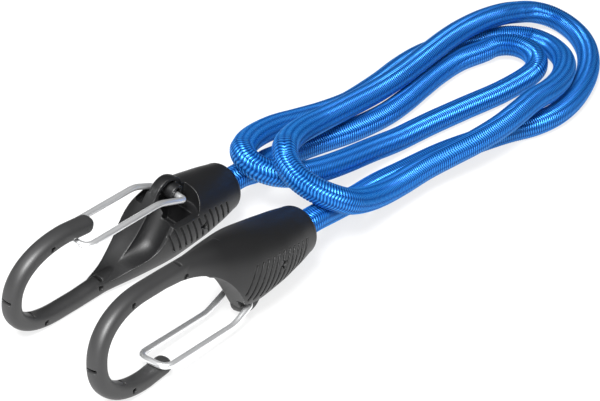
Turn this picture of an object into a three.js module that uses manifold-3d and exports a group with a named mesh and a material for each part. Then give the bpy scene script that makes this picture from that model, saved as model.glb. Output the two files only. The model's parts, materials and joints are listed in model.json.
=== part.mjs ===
// Elastic bungee cord with two moulded carabiner hooks, folded into a hank on a table.
// Millimetres, +Z up, the table at z = 0.
import * as THREE from 'three';
import { mergeVertices } from 'three/addons/utils/BufferGeometryUtils.js';
import Module from 'manifold-3d';

const wasm = await Module();
wasm.setup();

// Clearance between neighbours, how far a cutter runs past what it cuts, and the finest edge that is kept
const GAP = 0.3;
const PAST = 1;
const FINEST = 0.03;

// Elastic cord: a braided sheath round a rubber core
const CORD_DIAMETER = 10;
const SHEATH_BORE = 8;
const SHEATH_SIDES = 8;
const CORE_SIDES = 6;
const STATIONS_PER_POINT = 1.6;

// Hook, in its own axes: x from the nose to the cord end, y from the spine's back to the gate, z across
const HOOK_LENGTH = 112;
const BAR_DEPTH = 6.2;
const BAR_WIDTH = 6.6;
const EYE_HEIGHT = 34.6;
const NOSE_REACH = 23.2;
const NOSE_FULLNESS = 2.24;
const TIP_X = 38.8;
const TIP_DROP = 0.9;
const SPINE_X = 64;
const SPINE_DEPTH = 9;
const BAR_SQUARENESS = 2.5;

// Grip: x, back, gate side and half width of each section, from the throat to the cord end
const GRIP_SECTIONS = [
  [42, 0.5, 6.5, 2.9],
  [50, 0.1, 13, 4.6],
  [58, 0.1, 22, 7.2],
  [67, 0.4, 29.6, 9.8],
  [78, 1.6, 31, 11.8],
  [90, 3.8, 29.2, 12.1],
  [101, 5.5, 27.3, 11],
];
const GRIP_SQUARENESS = 2.3;
const MOUTH_RADIUS = 9.8;
const MOUTH_ROUNDING = 2.4;
const SOCKET_Y = 16.4;
const SOCKET_DEPTH = 27;

// Throat: the curve from the spine's inner side out to the heel
const THROAT_START = [46, 6.2];
const THROAT_PULLS = [[64, 8.4], [67, 22]];
const HEEL_CORNER = [74.5, 32];

// Gate: one bent wire whose two ends turn in towards each other, a little apart, so that its twist shuts it
const WIRE_DIAMETER = 2.4;
const PIVOT = [79.2, 29];
const PIN_OFFSET = [2.3, -0.6];
const FLOOR_PIN_LENGTH = 3.9;
const BOSS_PIN_LENGTH = 6;
const LEG_BEND_X = 67.5;
const LEG_RISE = 0.6;
const GATE_END_X = 30.6;
const GATE_OPEN_DEGREES = 27;
const PIN_CORNER = 1.6;
const LEG_CORNER = 6;
const LOOP_CORNER = 4;

// Heel: a floor and a boss that carry the gate's ends, under a domed arch, between the two legs
const HEEL_WIDTH = 9.4;
const HEEL_FLOOR = 2.5;
const ARCH_CENTRE = [79.6, 28.2];
const ARCH_RADIUS = 7;
const ARCH_BACK_RADIUS = 5.2;
const ARCH_WALL = 1.6;
const BOSS_RADIUS = 3.2;
const BOSS_END_Z = 2.6;
const SLOT_BACK_X = 80.8;
const SLOT_FLOOR_Y = 25.6;

// Open side of the heel, with a rounded end, behind a web that rises past the mid plane, and the well in its floor
const OPEN_FLOOR_Y = 22.4;
const WEB_END_X = 74.2;
const WEB_RISE = 3.2;
const OPEN_ROUND_X = 79.8;
const OPEN_ROUND_Z = 4.2;
const OPEN_ROUND_RADIUS = 8.5;
const WELL_SIDE_Z = 8.6;
const WELL_FLOOR_Y = 14;
const WELL_WALL = 1.2;

// Scoop that hollows one side of the throat: its range on the throat's curve, half width and depth
const SCOOP_RANGE = [0.2, 0.97];
const SCOOP_HALF_WIDTH = 5.2;
const SCOOP_DEPTH = 4.4;
const SCOOP_RUN_IN = 0.43;
const SCOOP_RIM = 0.75;

// Grip ribs, cut as slanted grooves of even depth. Their feet rise towards the mouth, and their ends fall:
// from the floor's edge and the gate side on the open side, and from the gate side on the other
const RIB_PITCH = 3;
const RIB_GROOVE = 1;
const RIB_DEPTH = 0.9;
const RIB_FIRST_X = 74;
const RIB_LAST_X = 104;
const RIB_FOOT_Y = 10.8;
const RIB_FOOT_RISE = 0.14;
const RIB_RISE_X = 87;
const RIB_RIM = 0.9;
const RIB_OPEN_END_Y = 24;
const RIB_OPEN_FALL = 0.25;
const RIB_SHUT_END_Y = 25.4;
const RIB_SHUT_FALL = 0.06;
const RIB_SLANT_DEGREES = 23;

// Steel core of the bar, and the marks of the pins that held it in the mould: holes at the bar's sides and
// slots across its faces, those on the nose given by their direction from its middle
const STEEL_DIAMETER = 3;
const STEEL_END_X = 70;
const STEEL_TIP_COVER = 4;
const MARK_HOLE = 1.8;
const MARK_SLOT_WIDTH = 1.3;
const MARK_SLOT_LENGTH = 4;
const SPINE_HOLE_X = 44.6;
const SPINE_HOLE_RISE = 1.4;
const NOSE_HOLE_X = 18;
const SPINE_INNER_SLOT_X = 45.8;
const SPINE_OUTER_SLOT_X = 43;
const NOSE_OUTER_SLOT_DEGREES = 2;
const NOSE_SPINE_SLOT_DEGREES = -53;
const NOSE_TIP_SLOT_DEGREES = 60;

// Cross pin that holds the cord's end in the socket
const CROSS_PIN_DIAMETER = 2.4;
const CROSS_PIN_X = 88.5;
const CROSS_PIN_RECESS = 1.2;

// How the hooks lie: the first on its spine with its gate up, the second on nose and heel with its gate down
const HOOK_ONE = { nose: [-53.5, 22], heading: 0, pitch: 0, lean: 5, gateUp: true };
const HOOK_TWO = { nose: [-57.5, -22.5], heading: 2.4, pitch: -3.4, lean: 5.9, gateUp: false };

// Bends of the hank: centre, radius, start and end direction in degrees, and the heights of
// the cord's middle line at start, half way and end
const TABLE = CORD_DIAMETER / 2 + 0.05;
const BENDS = {
  innerRight: { centre: [233.8, 7.3], radius: 13, from: 85, to: -100, heights: [6, 8.2, 5.5] },
  frontLeft: { centre: [77.2, -10.8], radius: 14.3, from: -95, to: -235, heights: [23.4, 31.5, 36.4] },
};
const BEND_STEP_DEGREES = 22;

// Runs between the bends, chosen by hand
const RUNS = {
  fromHookOne: [[80, 22.5, 12.5], [92, 26.5, 9], [108, 27.5, 5.5], [120, 25.6, TABLE], [140, 21, TABLE],
    [160, 19, TABLE], [175, 19.8, TABLE], [190, 21.8, TABLE], [206, 23.6, TABLE], [221, 23.6, 5.3]],
  innerReturn: [[212, -4.5, TABLE], [187, -0.8, TABLE], [162, 2.4, TABLE], [147, 3, 6], [128.5, 3.1, 9],
    [110, 1.8, 13], [94, 0.8, 17], [82, 0.8, 20.3], [74, 2.6, 22.6], [68.2, 5.4, 24.8], [64.8, 9.7, 26.6],
    [64.5, 14.8, 27.8], [67.4, 19.5, 28], [72.6, 23, 26.5], [80, 26.8, 24]],
  middleOut: [[92, 31.5, 19.7], [106.5, 35.1, 15], [124.5, 36.3, 10], [141, 36.2, 6.5], [157, 35.3, TABLE],
    [179, 36.2, TABLE], [196, 38, TABLE], [211, 38.2, TABLE], [225, 35.8, TABLE], [237, 31.8, TABLE],
    [248, 26, TABLE], [257.3, 19.2, TABLE], [262, 12, TABLE], [260.9, 3.5, 6], [253.8, -6.8, 8.6],
    [243.4, -15.7, 11.4]],
  middleReturn: [[231.5, -21.9, 13], [220.6, -25.1, 14.2], [211.5, -26.5, 15.2], [199.5, -27, 16.3],
    [187, -28.2, 16.5], [173, -28.7, 15.8], [157, -27.5, 14.8], [144, -25, 13.5], [131, -22.4, 12],
    [115, -21.7, 11.6], [101, -22.3, 13.5], [87, -23.8, 18]],
  outerOut: [[80, 8.5, 31.5], [92.5, 15.2, 26], [105.5, 20.4, 21], [120, 23.4, 17.3], [141, 24.5, 15],
    [162, 25, 13.7], [177, 25.3, 14.2], [190, 26.6, 14.4], [202, 27.6, 15], [214.5, 28.5, 15.6],
    [226, 28.7, 15.9], [240.3, 27.6, 16], [254, 25.7, 15], [264.9, 24.4, 12.6], [275.7, 21.9, 9.8],
    [282, 16.9, 7.6], [284, 10.3, 6.1], [281.3, 0.9, 5.3], [274.6, -8.1, TABLE], [264.8, -16, TABLE],
    [252.7, -22.5, TABLE]],
  outerReturn: [[239.5, -27.2, TABLE], [225.5, -30.3, TABLE], [212, -31, TABLE], [200, -29, TABLE],
    [187, -24.2, TABLE], [171, -19.8, TABLE], [152, -15.3, TABLE], [129, -12.3, TABLE], [113, -10.5, TABLE],
    [101, -11.2, 6.2], [91, -13.2, 9.5], [79, -15.6, 13.3]],
};

const PLASTIC = { color: 0x2b2c2e, roughness: 0.62, metalness: 0 };
const ZINC = { color: 0xc9ccd0, roughness: 0.28, metalness: 1 };
const STEEL = { color: 0x8b8d90, roughness: 0.45, metalness: 1 };
const BRAID = { color: 0x1557c0, roughness: 0.55, metalness: 0 };
const RUBBER = { color: 0xd8c9a0, roughness: 0.8, metalness: 0 };

// Closed geometry as a solid for joining and cutting, and back
function toSolid(geometry) {
  const bare = geometry.clone();
  bare.deleteAttribute('normal');
  bare.deleteAttribute('uv');
  const merged = mergeVertices(bare, 1e-5);
  return new wasm.Manifold(new wasm.Mesh({
    numProp: 3,
    vertProperties: new Float32Array(merged.attributes.position.array),
    triVerts: new Uint32Array(merged.index.array),
  }));
}

function toGeometry(solid) {
  const { vertProperties, triVerts } = solid.simplify(FINEST).getMesh();
  const geometry = new THREE.BufferGeometry();
  geometry.setAttribute('position', new THREE.BufferAttribute(vertProperties, 3));
  geometry.setIndex(new THREE.BufferAttribute(triVerts, 1));
  geometry.computeVertexNormals();
  return geometry;
}

// Skin over a row of rings with equal counts, closed at both ends by a fan
function loft(rings) {
  const count = rings[0].length;
  const positions = [];
  const triangles = [];
  for (const point of rings.flat()) {
    positions.push(point.x, point.y, point.z);
  }
  for (let row = 0; row + 1 < rings.length; row += 1) {
    for (let k = 0; k < count; k += 1) {
      const a = row * count + k;
      const b = row * count + ((k + 1) % count);
      triangles.push(a, b, b + count, a, b + count, a + count);
    }
  }
  const last = (rings.length - 1) * count;
  for (let k = 1; k + 1 < count; k += 1) {
    triangles.push(0, k + 1, k);
    triangles.push(last, last + k, last + k + 1);
  }
  const geometry = new THREE.BufferGeometry();
  geometry.setAttribute('position', new THREE.Float32BufferAttribute(positions, 3));
  geometry.setIndex(triangles);
  geometry.computeVertexNormals();
  return geometry;
}

// Ring of a rounded-square section: half sizes along two directions, fuller as squareness grows
function sectionRing(centre, along, across, halfAlong, halfAcross, squareness, sides) {
  const bulge = (value) => Math.sign(value) * Math.abs(value) ** (2 / squareness);
  return Array.from({ length: sides }, (_, k) => {
    const turn = (2 * Math.PI * (k + 0.5)) / sides;
    return centre.clone()
      .addScaledVector(along, halfAlong * bulge(Math.cos(turn)))
      .addScaledVector(across, halfAcross * bulge(Math.sin(turn)));
  });
}

// Round tube through a row of points, its rings carried along without twist
function tube(points, radius, sides) {
  const directions = points.map((point, i) => {
    const before = points[Math.max(i - 1, 0)];
    const after = points[Math.min(i + 1, points.length - 1)];
    return after.clone().sub(before).normalize();
  });
  let side = new THREE.Vector3(0, 0, 1).cross(directions[0]);
  if (side.length() < 0.1) {
    side = new THREE.Vector3(1, 0, 0);
  }
  const rings = points.map((point, i) => {
    side.addScaledVector(directions[i], -side.dot(directions[i])).normalize();
    const up = directions[i].clone().cross(side);
    return sectionRing(point, side, up, radius, radius, 2, sides);
  });
  return loft(rings);
}

// Row of points with each inner corner replaced by a curve that starts a set distance from it
function roundCorners(corners, steps) {
  const points = [corners[0].at];
  for (let i = 1; i + 1 < corners.length; i += 1) {
    const { at, reach } = corners[i];
    const start = corners[i - 1].at.clone().sub(at).setLength(reach).add(at);
    const end = corners[i + 1].at.clone().sub(at).setLength(reach).add(at);
    points.push(...new THREE.QuadraticBezierCurve3(start, at, end).getPoints(steps));
  }
  points.push(corners[corners.length - 1].at);
  return points;
}

function plate(shape, low, high) {
  const geometry = new THREE.ExtrudeGeometry(shape, { depth: high - low, bevelEnabled: false, curveSegments: 10 });
  geometry.translate(0, 0, low);
  return toSolid(geometry);
}

function block(x0, x1, y0, y1, z0, z1) {
  const geometry = new THREE.BoxGeometry(x1 - x0, y1 - y0, z1 - z0);
  geometry.translate((x0 + x1) / 2, (y0 + y1) / 2, (z0 + z1) / 2);
  return toSolid(geometry);
}

// Round rod between two points
function rod(from, to, radius, sides) {
  const geometry = new THREE.CylinderGeometry(radius, radius, from.distanceTo(to), sides);
  const turn = new THREE.Quaternion().setFromUnitVectors(
    new THREE.Vector3(0, 1, 0), to.clone().sub(from).normalize());
  geometry.applyQuaternion(turn);
  const middle = from.clone().add(to).multiplyScalar(0.5);
  geometry.translate(middle.x, middle.y, middle.z);
  return toSolid(geometry);
}

const vec = (x, y, z = 0) => new THREE.Vector3(x, y, z);
const Z_AXIS = vec(0, 0, 1);

// Middle line of the hook's bar: along the spine, round the nose, and out to the tip
const noseX = BAR_DEPTH / 2 + NOSE_REACH;
const tipY = BAR_DEPTH / 2 + EYE_HEIGHT;
const tipCentreX = TIP_X - BAR_DEPTH / 2;

function spineHalfDepth(x) {
  const share = (SPINE_X - x) / (SPINE_X - noseX);
  return THREE.MathUtils.lerp(SPINE_DEPTH, BAR_DEPTH, Math.min(1, share * 1.3)) / 2;
}

function nosePoint(turn) {
  const bulge = (value) => Math.sign(value) * Math.abs(value) ** (2 / NOSE_FULLNESS);
  const x = noseX - NOSE_REACH * Math.abs(bulge(Math.cos(turn)));
  return vec(x, BAR_DEPTH / 2 + (EYE_HEIGHT / 2) * (1 + bulge(Math.sin(turn))));
}

const tipLineY = (x) => tipY - (TIP_DROP * (x - noseX)) / (tipCentreX - noseX);

function barLine() {
  const line = [];
  const spineSteps = 7;
  for (let i = 0; i <= spineSteps; i += 1) {
    const x = THREE.MathUtils.lerp(SPINE_X, noseX, i / spineSteps);
    const halfDepth = spineHalfDepth(x);
    line.push({ at: vec(x, halfDepth), halfDepth });
  }
  const noseSteps = 16;
  for (let i = 1; i <= noseSteps; i += 1) {
    line.push({ at: nosePoint(Math.PI * (i / noseSteps - 0.5)), halfDepth: BAR_DEPTH / 2 });
  }
  for (const share of [0.5, 1]) {
    const x = THREE.MathUtils.lerp(noseX, tipCentreX, share);
    line.push({ at: vec(x, tipLineY(x)), halfDepth: BAR_DEPTH / 2 });
  }
  return line;
}

const barDirection = (line, i) => {
  const before = line[Math.max(i - 1, 0)].at;
  const after = line[Math.min(i + 1, line.length - 1)].at;
  return after.clone().sub(before).normalize();
};

function barSolid() {
  const line = barLine();
  const sides = 12;
  const rings = line.map(({ at, halfDepth }, i) => {
    const outward = Z_AXIS.clone().cross(barDirection(line, i));
    return sectionRing(at, outward, Z_AXIS, halfDepth, BAR_WIDTH / 2, BAR_SQUARENESS, sides);
  });
  const end = line[line.length - 1].at;
  const heading = barDirection(line, line.length - 1);
  const outward = Z_AXIS.clone().cross(heading);
  for (const lift of [0.5, 0.85, 0.98]) {
    const shrink = Math.sqrt(1 - lift * lift);
    const centre = end.clone().addScaledVector(heading, (lift * BAR_DEPTH) / 2);
    rings.push(sectionRing(centre, outward, Z_AXIS, (shrink * BAR_DEPTH) / 2, (shrink * BAR_WIDTH) / 2,
      BAR_SQUARENESS, sides));
  }
  return toSolid(loft(rings));
}

// Grip from the throat to the cord's mouth, drawn in by an even amount where asked
function gripSolid(inset) {
  const sides = 20;
  const along = vec(0, 1);
  const rings = GRIP_SECTIONS.map(([x, back, gate, half]) => sectionRing(vec(x, (back + gate) / 2), along, Z_AXIS,
    (gate - back) / 2 - inset, half - inset, GRIP_SQUARENESS, sides));
  for (const share of [0, 0.6, 1]) {
    const x = HOOK_LENGTH - MOUTH_ROUNDING * (1 - share);
    const radius = MOUTH_RADIUS - MOUTH_ROUNDING * (1 - Math.sqrt(1 - share * share)) * 0.6 - inset;
    rings.push(sectionRing(vec(x, SOCKET_Y), along, Z_AXIS, radius, radius, 2, sides));
  }
  return toSolid(loft(rings));
}

// Side view of the grip: everything on the spine's side of the throat
function throatShape() {
  const shape = new THREE.Shape();
  shape.moveTo(GRIP_SECTIONS[0][0] - PAST, -PAST);
  shape.lineTo(GRIP_SECTIONS[0][0] - PAST, THROAT_START[1]);
  shape.lineTo(...THROAT_START);
  shape.bezierCurveTo(...THROAT_PULLS.flat(), ...HEEL_CORNER);
  shape.lineTo(HEEL_CORNER[0] + PAST, HEEL_CORNER[1] + PAST);
  shape.lineTo(HOOK_LENGTH + PAST, HEEL_CORNER[1] + PAST);
  shape.lineTo(HOOK_LENGTH + PAST, -PAST);
  shape.closePath();
  return shape;
}

const throatCurve = () => new THREE.CubicBezierCurve(
  ...[THROAT_START, ...THROAT_PULLS, HEEL_CORNER].map((point) => new THREE.Vector2(...point)));

const FAR_Y = HEEL_CORNER[1] + 4 * BOSS_PIN_LENGTH;
const FAR_Z = 2 * HEEL_WIDTH;

// Arch over the gate's ends, domed from its back to its open front in the mid plane
function archSolid() {
  const [x, y] = ARCH_CENTRE;
  const steps = 12;
  const rings = [0, 0.25, 0.6, 1].map((share) => {
    const radius = THREE.MathUtils.lerp(ARCH_BACK_RADIUS, ARCH_RADIUS, Math.sqrt(1 - (1 - share) ** 2));
    const z = (-HEEL_WIDTH / 2) * (1 - share);
    const ring = Array.from({ length: steps + 1 }, (_, k) => {
      const turn = (Math.PI * k) / steps;
      return vec(x + radius * Math.cos(turn), y + radius * Math.sin(turn), z);
    });
    return [...ring, vec(x - radius, OPEN_FLOOR_Y, z), vec(x + radius, OPEN_FLOOR_Y, z)];
  });
  return toSolid(loft(rings));
}

// Boss for the gate's end on the open side
function bossSolid() {
  const pin = pinPlace(1);
  const middle = pin.clone().lerp(opened(pin), 0.5);
  return rod(vec(middle.x, middle.y, -HEEL_WIDTH / 2), vec(middle.x, middle.y, BOSS_END_Z), BOSS_RADIUS, 16);
}

// Open side of the heel, where one leg lies and swings, the hollow of the arch, and the well in the floor
function heelCuts() {
  const front = block(GRIP_SECTIONS[0][0], OPEN_ROUND_X, OPEN_FLOOR_Y, FAR_Y, WEB_RISE, FAR_Z);
  const end = block(WEB_END_X, OPEN_ROUND_X + OPEN_ROUND_RADIUS, OPEN_FLOOR_Y, FAR_Y, 0, OPEN_ROUND_Z);
  const round = rod(vec(OPEN_ROUND_X, OPEN_FLOOR_Y, OPEN_ROUND_Z), vec(OPEN_ROUND_X, FAR_Y, OPEN_ROUND_Z),
    OPEN_ROUND_RADIUS, 32);
  const beside = block(OPEN_ROUND_X, HOOK_LENGTH, OPEN_FLOOR_Y - PAST, FAR_Y + PAST, OPEN_ROUND_Z, FAR_Z);
  const shape = new THREE.Shape();
  const [x, y] = ARCH_CENTRE;
  const inner = ARCH_RADIUS - ARCH_WALL;
  const floorZ = HEEL_FLOOR - HEEL_WIDTH / 2;
  shape.moveTo(x - inner, OPEN_FLOOR_Y);
  shape.lineTo(x + inner, OPEN_FLOOR_Y);
  shape.absarc(x, y, inner, 0, Math.PI, false);
  shape.closePath();
  const wellEnd = HOOK_LENGTH - SOCKET_DEPTH - WELL_WALL;
  const well = block(WEB_END_X, wellEnd, WELL_FLOOR_Y, OPEN_FLOOR_Y + PAST, floorZ, WELL_SIDE_Z);
  return front.add(end).add(round.intersect(beside)).add(plate(shape, floorZ, FAR_Z)).add(well);
}

// Slot on the other side, between the floor and the ribbed cheek
function slotCut() {
  const outer = HEEL_WIDTH / 2 + WIRE_DIAMETER + 2 * GAP;
  return block(GRIP_SECTIONS[0][0], SLOT_BACK_X, SLOT_FLOOR_Y, FAR_Y, -outer, -HEEL_WIDTH / 2);
}

// Hollow along the throat, from a sharp edge in the mid plane out through one side, deeper towards the heel
function scoopCut() {
  const curve = throatCurve();
  const [first, last] = SCOOP_RANGE;
  const steps = 12;
  const rings = [];
  const shape = new THREE.Shape();
  for (let i = 0; i <= steps; i += 1) {
    const share = i / steps;
    const place = THREE.MathUtils.lerp(first, last, share);
    const at = curve.getPoint(place);
    const tangent = curve.getTangent(place);
    const depth = Math.max(FINEST, SCOOP_DEPTH * THREE.MathUtils.smoothstep(share, 0, SCOOP_RUN_IN));
    rings.push(sectionRing(vec(at.x, at.y, SCOOP_HALF_WIDTH), vec(-tangent.y, tangent.x), Z_AXIS, depth,
      SCOOP_HALF_WIDTH, 2, 24));
    const edge = [at.x + SCOOP_RIM * depth * tangent.y, at.y - SCOOP_RIM * depth * tangent.x];
    if (i === 0) {
      shape.moveTo(...edge);
    } else {
      shape.lineTo(...edge);
    }
  }
  shape.lineTo(GRIP_SECTIONS[0][0], FAR_Y);
  shape.closePath();
  const outer = plate(shape, SCOOP_HALF_WIDTH * (1 + Math.sqrt(1 - SCOOP_RIM ** 2)), FAR_Z);
  return toSolid(loft(rings)).add(outer);
}

// Place of each gate end, and where it goes when the gate is open
function pinPlace(side) {
  return vec(PIVOT[0] + side * PIN_OFFSET[0], PIVOT[1] + side * PIN_OFFSET[1]);
}

function opened(point) {
  const pivot = vec(...PIVOT);
  return point.clone().sub(pivot).applyAxisAngle(Z_AXIS, THREE.MathUtils.degToRad(GATE_OPEN_DEGREES)).add(pivot);
}

// Hole for a gate end, long enough for the turn that the wire's twist takes up
function pinHole(side) {
  const rest = pinPlace(side);
  const open = opened(rest);
  const radius = WIRE_DIAMETER / 2 + GAP;
  const turn = Math.atan2(open.y - rest.y, open.x - rest.x);
  const shape = new THREE.Shape();
  shape.absarc(rest.x, rest.y, radius, turn + Math.PI / 2, turn + 1.5 * Math.PI, false);
  shape.absarc(open.x, open.y, radius, turn - Math.PI / 2, turn + Math.PI / 2, false);
  shape.closePath();
  const legZ = legOffset();
  if (side > 0) {
    return plate(shape, legZ - BOSS_PIN_LENGTH - GAP, legZ + PAST);
  }
  return plate(shape, -legZ - PAST, HEEL_FLOOR + GAP - HEEL_WIDTH / 2);
}

const legOffset = () => HEEL_WIDTH / 2 + GAP + WIRE_DIAMETER / 2;

// The gate's end rests against the underside of the tip
const gateEndY = tipLineY(GATE_END_X) - BAR_DEPTH / 2 - WIRE_DIAMETER / 2;

// Slanted grooves over both sides of the grip, of even depth in its skin
function ribCuts() {
  const skin = gripSolid(-PAST).subtract(gripSolid(RIB_DEPTH));
  const lean = THREE.MathUtils.degToRad(RIB_SLANT_DEGREES);
  const openEnd = OPEN_ROUND_X + OPEN_ROUND_RADIUS;
  const inner = HEEL_WIDTH / 2 + WIRE_DIAMETER + 2 * GAP;
  let slabs = null;
  const addSlab = (x, foot, end, z0, z1) => {
    const reach = (end - foot) / Math.cos(lean);
    const geometry = new THREE.BoxGeometry(RIB_GROOVE, reach, z1 - z0);
    geometry.translate(0, reach / 2, (z0 + z1) / 2);
    geometry.rotateZ(lean);
    geometry.translate(x, foot, 0);
    const slab = toSolid(geometry);
    slabs = slabs ? slabs.add(slab) : slab;
  };
  for (let x = RIB_FIRST_X; x <= RIB_LAST_X; x += RIB_PITCH) {
    const foot = RIB_FOOT_Y + RIB_FOOT_RISE * Math.max(0, x - RIB_RISE_X);
    const besideFloor = x - (OPEN_FLOOR_Y - foot) * Math.tan(lean) < openEnd;
    const openSideEnd = besideFloor ? OPEN_FLOOR_Y - RIB_RIM : RIB_OPEN_END_Y - RIB_OPEN_FALL * (x - openEnd);
    addSlab(x, foot, openSideEnd, 0, FAR_Z);
    addSlab(x, foot, RIB_SHUT_END_Y - RIB_SHUT_FALL * (x - RIB_FIRST_X), -FAR_Z, -inner);
  }
  const behindThroat = plate(throatShape(), -FAR_Z, FAR_Z).translate([RIB_RIM, -RIB_RIM, 0]);
  return slabs.intersect(skin).intersect(behindThroat);
}

// Marks in the bar, down to the steel core: square holes at the sides, and slots across its faces
function markCuts() {
  const deep = STEEL_DIAMETER / 2;
  const half = MARK_HOLE / 2;
  const noseShare = (noseX - NOSE_HOLE_X) / NOSE_REACH;
  const noseRise = (EYE_HEIGHT / 2) * (1 - noseShare ** NOSE_FULLNESS) ** (1 / NOSE_FULLNESS);
  const noseMiddle = (BAR_DEPTH + EYE_HEIGHT) / 2;
  const places = [
    [SPINE_HOLE_X, spineHalfDepth(SPINE_HOLE_X) + SPINE_HOLE_RISE],
    [NOSE_HOLE_X, noseMiddle - noseRise],
    [NOSE_HOLE_X, noseMiddle + noseRise],
  ];
  const outer = BAR_WIDTH / 2 + PAST;
  const cuts = places.flatMap(([x, y]) => [
    block(x - half, x + half, y - half, y + half, deep, outer),
    block(x - half, x + half, y - half, y + half, -outer, -deep),
  ]);
  const addSlot = (at, outward, halfDepth) => {
    const length = halfDepth + PAST - deep;
    const geometry = new THREE.BoxGeometry(length, MARK_SLOT_WIDTH, MARK_SLOT_LENGTH);
    geometry.translate(deep + length / 2, 0, 0);
    geometry.rotateZ(Math.atan2(outward.y, outward.x));
    geometry.translate(at.x, at.y, 0);
    cuts.push(toSolid(geometry));
  };
  const spineAt = (x) => vec(x, spineHalfDepth(x));
  addSlot(spineAt(SPINE_INNER_SLOT_X), vec(0, 1), spineHalfDepth(SPINE_INNER_SLOT_X));
  addSlot(spineAt(SPINE_OUTER_SLOT_X), vec(0, -1), spineHalfDepth(SPINE_OUTER_SLOT_X));
  const noseSlots = [
    [NOSE_OUTER_SLOT_DEGREES, 1],
    [NOSE_SPINE_SLOT_DEGREES, -1],
    [NOSE_TIP_SLOT_DEGREES, -1],
  ];
  for (const [degrees, face] of noseSlots) {
    const turn = THREE.MathUtils.degToRad(degrees);
    const ahead = nosePoint(turn + FINEST).sub(nosePoint(turn - FINEST)).normalize();
    addSlot(nosePoint(turn), vec(-ahead.y, ahead.x).multiplyScalar(face), BAR_DEPTH / 2);
  }
  return cuts.reduce((sum, cut) => sum.add(cut));
}

// Points of the steel core, from inside the grip round the nose to short of the tip
function steelLine() {
  const line = barLine();
  const points = [vec(STEEL_END_X, line[0].at.y), ...line.map(({ at }) => at.clone())];
  const end = points.pop();
  end.x = TIP_X - STEEL_TIP_COVER;
  points.push(end);
  return points;
}

function steelRoom() {
  const points = steelLine();
  const first = points[0].clone().sub(points[1]).setLength(GAP).add(points[0]);
  const last = points[points.length - 1];
  const past = last.clone().sub(points[points.length - 2]).setLength(GAP).add(last);
  return toSolid(tube([first, ...points.slice(1, -1), past], STEEL_DIAMETER / 2 + GAP, 6));
}

function socketCut() {
  const inner = vec(HOOK_LENGTH - SOCKET_DEPTH, SOCKET_Y);
  const outer = vec(HOOK_LENGTH + PAST, SOCKET_Y);
  return rod(inner, outer, CORD_DIAMETER / 2 + GAP, 20);
}

const crossPin = (radius, halfLength) =>
  rod(vec(CROSS_PIN_X, SOCKET_Y, -halfLength), vec(CROSS_PIN_X, SOCKET_Y, halfLength), radius, 12);

// Half width of the grip where the cross pin goes through
function gripHalfWidth(x) {
  const next = GRIP_SECTIONS.findIndex((section) => section[0] > x);
  const [x0, , , half0] = GRIP_SECTIONS[next - 1];
  const [x1, , , half1] = GRIP_SECTIONS[next];
  return THREE.MathUtils.mapLinear(x, x0, x1, half0, half1);
}

function hookBody() {
  const grip = gripSolid(0);
  const wireSeat = rod(vec(GATE_END_X, gateEndY, -BAR_WIDTH), vec(GATE_END_X, gateEndY, BAR_WIDTH),
    WIRE_DIAMETER / 2 + GAP, 14);
  const body = grip.intersect(plate(throatShape(), -FAR_Z, FAR_Z)).subtract(scoopCut()).add(archSolid())
    .subtract(heelCuts())
    .add(bossSolid())
    .add(barSolid())
    .subtract(slotCut())
    .subtract(ribCuts())
    .subtract(pinHole(1))
    .subtract(pinHole(-1))
    .subtract(wireSeat)
    .subtract(socketCut())
    .subtract(crossPin(CROSS_PIN_DIAMETER / 2 + GAP, 2 * MOUTH_RADIUS))
    .subtract(steelRoom())
    .subtract(markCuts());
  return toGeometry(body);
}

function gateWire() {
  const legZ = legOffset();
  const corners = [];
  const addLeg = (side, pinLength) => {
    const pin = pinPlace(side);
    return [
      { at: vec(pin.x, pin.y, side * (legZ - pinLength)), reach: 0 },
      { at: vec(pin.x, pin.y, side * legZ), reach: PIN_CORNER },
      { at: vec(LEG_BEND_X, gateEndY + LEG_RISE, side * legZ), reach: LEG_CORNER / 2 },
      { at: vec(GATE_END_X, gateEndY, side * legZ), reach: LOOP_CORNER },
    ];
  };
  corners.push(...addLeg(-1, FLOOR_PIN_LENGTH), ...addLeg(1, BOSS_PIN_LENGTH).reverse());
  return tube(roundCorners(corners, 4), WIRE_DIAMETER / 2, 8);
}

const steelCore = () => tube(steelLine(), STEEL_DIAMETER / 2, 6);

function material({ color, roughness, metalness }) {
  return new THREE.MeshStandardMaterial({ color, roughness, metalness });
}

function named(name, geometry, finish) {
  const piece = new THREE.Mesh(geometry, material(finish));
  piece.name = name;
  return piece;
}

// One hook with its gate, steel core and cross pin, turned and set down on the table
function hook(number, { nose, heading, pitch, lean, gateUp }) {
  const group = new THREE.Group();
  const pinHalf = gripHalfWidth(CROSS_PIN_X) - CROSS_PIN_RECESS;
  group.add(named(`hook_body_${number}`, hookBody(), PLASTIC));
  group.add(named(`steel_core_${number}`, steelCore(), STEEL));
  group.add(named(`wire_gate_${number}`, gateWire(), ZINC));
  group.add(named(`cord_pin_${number}`, toGeometry(crossPin(CROSS_PIN_DIAMETER / 2, pinHalf)), STEEL));

  const radians = THREE.MathUtils.degToRad;
  const xAxis = vec(
    Math.cos(radians(heading)) * Math.cos(radians(pitch)),
    Math.sin(radians(heading)) * Math.cos(radians(pitch)),
    Math.sin(radians(pitch)));
  const left = vec(-Math.sin(radians(heading)), Math.cos(radians(heading)));
  const up = xAxis.clone().cross(left);
  const yAxis = up.multiplyScalar(gateUp ? Math.cos(radians(lean)) : -Math.cos(radians(lean)))
    .addScaledVector(left, -Math.sin(radians(lean)));
  const zAxis = xAxis.clone().cross(yAxis);
  group.quaternion.setFromRotationMatrix(new THREE.Matrix4().makeBasis(xAxis, yAxis, zAxis));
  group.position.set(nose[0], nose[1], 0);
  group.updateMatrixWorld(true);
  group.position.z = -new THREE.Box3().setFromObject(group, true).min.z;
  group.updateMatrixWorld(true);
  return group;
}

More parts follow.
